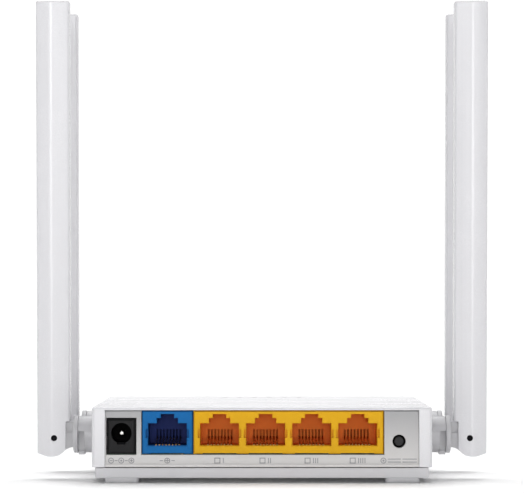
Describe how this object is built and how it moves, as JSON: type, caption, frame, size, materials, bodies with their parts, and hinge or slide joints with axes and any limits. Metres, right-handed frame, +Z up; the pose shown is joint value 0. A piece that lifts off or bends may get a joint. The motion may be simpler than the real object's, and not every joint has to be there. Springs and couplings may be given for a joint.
{
  "type": "wireless router",
  "caption": "Flat desktop wireless router with network sockets, a power jack and a push button at the rear, and blade antennas that fold and swivel on its sides.",
  "frame": {"origin": "on the table under the middle of the case", "axes": "+Z up, the sockets face -Y, +X is the button's side"},
  "size_m": [0.1416, 0.08, 0.1497],
  "materials": {
    "white_plastic": "satin white, lightly textured",
    "base_plastic": "satin, slightly greyer white",
    "panel_plastic": "satin, light grey",
    "elbow_plastic": "satin white",
    "foot_rubber": "matte, light grey",
    "screw_steel": "zinc plated",
    "label": "blank, matte",
    "clear_plastic": "clear, frosted top",
    "circuit_board": "solder mask, satin",
    "blue_plastic": "satin",
    "yellow_plastic": "satin",
    "gold_contacts": "gold plated",
    "black_plastic": "satin",
    "pin_metal": "nickel plated",
    "button_plastic": "satin, dark grey",
    "chip_plastic": "moulded, matte",
    "heat_sink_metal": "anodised",
    "capacitor_metal": "drawn can",
    "ferrite": "matte, dark",
    "shield_metal": "tin plated",
    "led_body": "clear epoxy",
    "cable_jacket": "smooth, black",
    "clip_metal": "spring steel",
    "washer_plastic": "nylon",
    "dark_pin": "blackened",
    "radiator_board": "bare board with copper strip"
  },
  "bodies": {
    "casing": {"top_cover": "white_plastic", "base_cover": "base_plastic", "port_panel": "panel_plastic", "rubber_feet": "foot_rubber", "case_screws": "screw_steel", "rating_label": "label", "led_light_pipe": "clear_plastic", "main_board": "circuit_board", "wan_socket": "blue_plastic", "wan_socket_contacts": "gold_contacts", "lan_socket_block": "yellow_plastic", "lan_socket_contacts": "gold_contacts", "power_jack": "black_plastic", "power_jack_pin": "pin_metal", "power_jack_spring": "dark_pin", "reset_switch": "black_plastic", "processor": "chip_plastic", "heat_sink": "heat_sink_metal", "memory_chips": "chip_plastic", "network_transformers": "chip_plastic", "filter_capacitors": "capacitor_metal", "power_inductors": "ferrite", "radio_shield": "shield_metal", "small_board_parts": "ferrite", "status_leds": "led_body", "antenna_leads": "cable_jacket"},
    "reset_button": {"reset_button": "button_plastic"},
    "rear_left_swivel": {"rear_left_elbow": "elbow_plastic", "rear_left_elbow_clip": "clip_metal", "rear_left_elbow_washer": "washer_plastic"},
    "rear_left_antenna": {"rear_left_hinge_pin": "dark_pin", "rear_left_blade_rear_shell": "white_plastic", "rear_left_blade_front_shell": "white_plastic", "rear_left_radiator": "radiator_board", "rear_left_feed_cable": "cable_jacket"},
    "rear_right_swivel": {"rear_right_elbow": "elbow_plastic", "rear_right_elbow_clip": "clip_metal", "rear_right_elbow_washer": "washer_plastic"},
    "rear_right_antenna": {"rear_right_hinge_pin": "dark_pin", "rear_right_blade_rear_shell": "white_plastic", "rear_right_blade_front_shell": "white_plastic", "rear_right_radiator": "radiator_board", "rear_right_feed_cable": "cable_jacket"},
    "front_left_swivel": {"front_left_elbow": "elbow_plastic", "front_left_elbow_clip": "clip_metal", "front_left_elbow_washer": "washer_plastic"},
    "front_left_antenna": {"front_left_hinge_pin": "dark_pin", "front_left_blade_rear_shell": "white_plastic", "front_left_blade_front_shell": "white_plastic", "front_left_radiator": "radiator_board", "front_left_feed_cable": "cable_jacket"},
    "front_right_swivel": {"front_right_elbow": "elbow_plastic", "front_right_elbow_clip": "clip_metal", "front_right_elbow_washer": "washer_plastic"},
    "front_right_antenna": {"front_right_hinge_pin": "dark_pin", "front_right_blade_rear_shell": "white_plastic", "front_right_blade_front_shell": "white_plastic", "front_right_radiator": "radiator_board", "front_right_feed_cable": "cable_jacket"}
  },
  "joints": [
    {"name": "rear_left_turn", "type": "hinge", "parent": "casing", "child": "rear_left_swivel", "pos_m": [-0.052, -0.022, 0.014], "axis": [1, 0, 0], "range_deg": [-5, 90]},
    {"name": "rear_left_fold", "type": "hinge", "parent": "rear_left_swivel", "child": "rear_left_antenna", "pos_m": [-0.06475, -0.022, 0.01295], "axis": [0, -1, 0], "range_deg": [0, 90]},
    {"name": "rear_right_turn", "type": "hinge", "parent": "casing", "child": "rear_right_swivel", "pos_m": [0.052, -0.022, 0.014], "axis": [1, 0, 0], "range_deg": [-5, 90]},
    {"name": "rear_right_fold", "type": "hinge", "parent": "rear_right_swivel", "child": "rear_right_antenna", "pos_m": [0.06475, -0.022, 0.01295], "axis": [0, 1, 0], "range_deg": [0, 90]},
    {"name": "front_left_turn", "type": "hinge", "parent": "casing", "child": "front_left_swivel", "pos_m": [-0.052, 0.011, 0.014], "axis": [1, 0, 0], "range_deg": [-90, 5]},
    {"name": "front_left_fold", "type": "hinge", "parent": "front_left_swivel", "child": "front_left_antenna", "pos_m": [-0.06475, 0.011, 0.01295], "axis": [0, -1, 0], "range_deg": [0, 90]},
    {"name": "front_right_turn", "type": "hinge", "parent": "casing", "child": "front_right_swivel", "pos_m": [0.052, 0.011, 0.014], "axis": [1, 0, 0], "range_deg": [-90, 5]},
    {"name": "front_right_fold", "type": "hinge", "parent": "front_right_swivel", "child": "front_right_antenna", "pos_m": [0.06475, 0.011, 0.01295], "axis": [0, 1, 0], "range_deg": [0, 90]},
    {"name": "reset_button_press", "type": "slide", "parent": "casing", "child": "reset_button", "axis": [0, 1, 0], "range_m": [0, 0.0005], "stiffness_N_per_m": 400, "springref_m": -0.0005}
  ]
}
